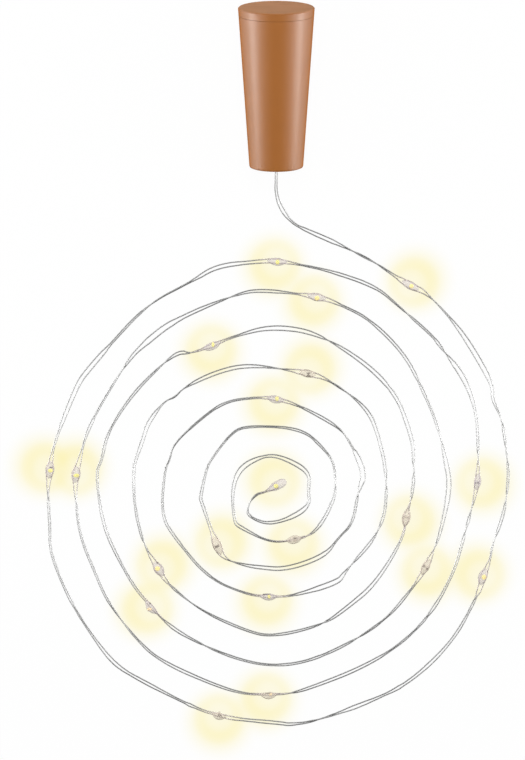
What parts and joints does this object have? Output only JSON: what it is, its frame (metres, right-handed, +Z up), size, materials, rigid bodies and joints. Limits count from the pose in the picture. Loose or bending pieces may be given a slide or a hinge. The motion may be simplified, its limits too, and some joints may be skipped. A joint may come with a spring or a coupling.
{
  "type": "cork bottle light",
  "caption": "Cork-shaped bottle stopper with button cells and a turning switch head, and a flat spiral of fine twin wire that carries small resin light drops.",
  "frame": {"origin": "middle of the stopper's footprint on the surface it lies on, without the wires", "axes": "+Z up, +Y from the stopper's narrow end towards its wide end, the wires leaving towards -Y"},
  "size_m": [0.1439, 0.2215, 0.0233],
  "materials": {
    "cork_plastic": "satin moulded plastic in a cork brown",
    "inner_plastic": "off-white moulded plastic",
    "rubber": "soft translucent grey rubber",
    "board": "green laminate with a satin lacquer",
    "contact_metal": "nickel-plated spring sheet",
    "steel": "bright zinc",
    "cell_case": "bright nickel can",
    "solder": "bright tin solder",
    "resistor_body": "black glaze",
    "silver_wire": "lacquered silver-coloured copper wire",
    "clear_resin": "clear cast resin with a faint pink cast",
    "light_chip": "yellow phosphor over a white chip body"
  },
  "bodies": {
    "stopper": {"cork_shell": "cork_plastic", "wire_seal": "rubber", "contact_board": "board", "negative_leaf": "contact_metal", "positive_leaf": "contact_metal", "resistor": "resistor_body", "solder_joints": "solder", "inner_wires": "silver_wire", "positive_lead": "silver_wire", "negative_lead": "silver_wire", "positive_coil": "silver_wire", "negative_coil": "silver_wire", "led_drop_01": "clear_resin", "led_drop_02": "clear_resin", "led_drop_03": "clear_resin", "led_drop_04": "clear_resin", "led_drop_05": "clear_resin", "led_drop_06": "clear_resin", "led_drop_07": "clear_resin", "led_drop_08": "clear_resin", "led_drop_09": "clear_resin", "led_drop_10": "clear_resin", "led_drop_11": "clear_resin", "led_drop_12": "clear_resin", "led_drop_13": "clear_resin", "led_drop_14": "clear_resin", "led_drop_15": "clear_resin", "led_drop_16": "clear_resin", "led_drop_17": "clear_resin", "led_drop_18": "clear_resin", "led_drop_19": "clear_resin", "led_drop_20": "clear_resin", "led_chips": "light_chip"},
    "plug": {"plug": "inner_plastic", "seal_ring": "rubber", "battery_carrier": "inner_plastic", "carrier_screws": "steel", "positive_plate": "contact_metal", "positive_strap": "contact_metal", "negative_pad": "contact_metal", "negative_spring": "steel", "button_cell_1": "cell_case", "button_cell_2": "cell_case", "button_cell_3": "cell_case"},
    "head": {"switch_head": "cork_plastic", "wiper": "contact_metal", "head_pin": "steel"}
  },
  "joints": [
    {"name": "plug_pull", "type": "slide", "parent": "stopper", "child": "plug", "axis": [0, 0.9975, 0.0705], "range_m": [0, 0.027]},
    {"name": "switch_turn", "type": "hinge", "parent": "plug", "child": "head", "pos_m": [0, 0.02456, 0.01167], "axis": [0, 0.9975, 0.0705], "range_deg": [0, 90]}
  ]
}
